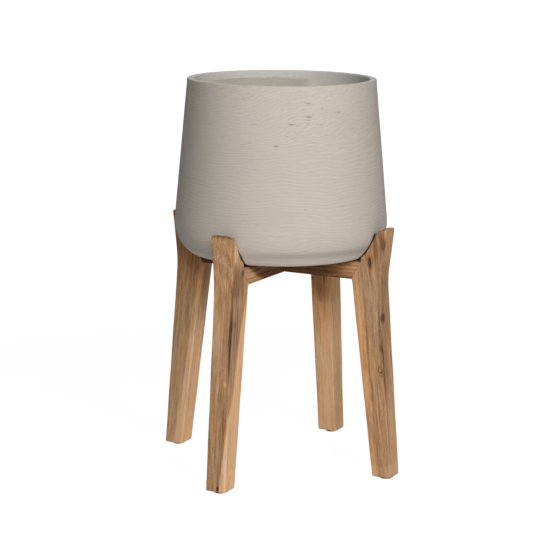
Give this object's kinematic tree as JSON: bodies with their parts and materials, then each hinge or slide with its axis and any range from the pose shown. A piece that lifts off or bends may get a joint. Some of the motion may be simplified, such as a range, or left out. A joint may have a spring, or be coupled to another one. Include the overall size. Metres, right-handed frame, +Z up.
{
  "type": "planter with legs",
  "caption": "Round tapered pot with a heavily rounded foot, resting in a wooden stand whose bars cross under it and whose bent legs rise past its sides.",
  "frame": {"origin": "on the floor, on the pot's axis", "axes": "+Z up along the pot's axis, -Y to the front, the legs stand on the diagonals between X and Y"},
  "size_m": [0.3796, 0.3796, 0.7],
  "materials": {
    "fibre_clay": "matt cast fibre clay, warm light grey, with fine trowelled lines and small pits",
    "acacia": "sanded and oiled, mid brown with darker streaks and knots",
    "dowel_wood": "plain pale hardwood",
    "plug_rubber": "moulded black rubber",
    "glide_plastic": "moulded dark brown plastic",
    "plated_steel": "zinc plated"
  },
  "bodies": {
    "stand": {"lower_cross_bar": "acacia", "upper_cross_bar": "acacia", "centre_screw": "plated_steel", "front_left_leg": "acacia", "front_left_dowels": "dowel_wood", "front_left_glide": "glide_plastic", "front_left_glide_nail": "plated_steel", "front_right_leg": "acacia", "front_right_dowels": "dowel_wood", "front_right_glide": "glide_plastic", "front_right_glide_nail": "plated_steel", "back_right_leg": "acacia", "back_right_dowels": "dowel_wood", "back_right_glide": "glide_plastic", "back_right_glide_nail": "plated_steel", "back_left_leg": "acacia", "back_left_dowels": "dowel_wood", "back_left_glide": "glide_plastic", "back_left_glide_nail": "plated_steel"},
    "pot": {"pot": "fibre_clay"},
    "drain_plug": {"drain_plug": "plug_rubber"}
  },
  "joints": [
    {"name": "pot_lift", "type": "slide", "parent": "stand", "child": "pot", "axis": [0, 0, 1], "range_m": [0, 0.1]},
    {"name": "plug_pull", "type": "slide", "parent": "pot", "child": "drain_plug", "axis": [0, 0, 1], "range_m": [0, 0.33]}
  ]
}
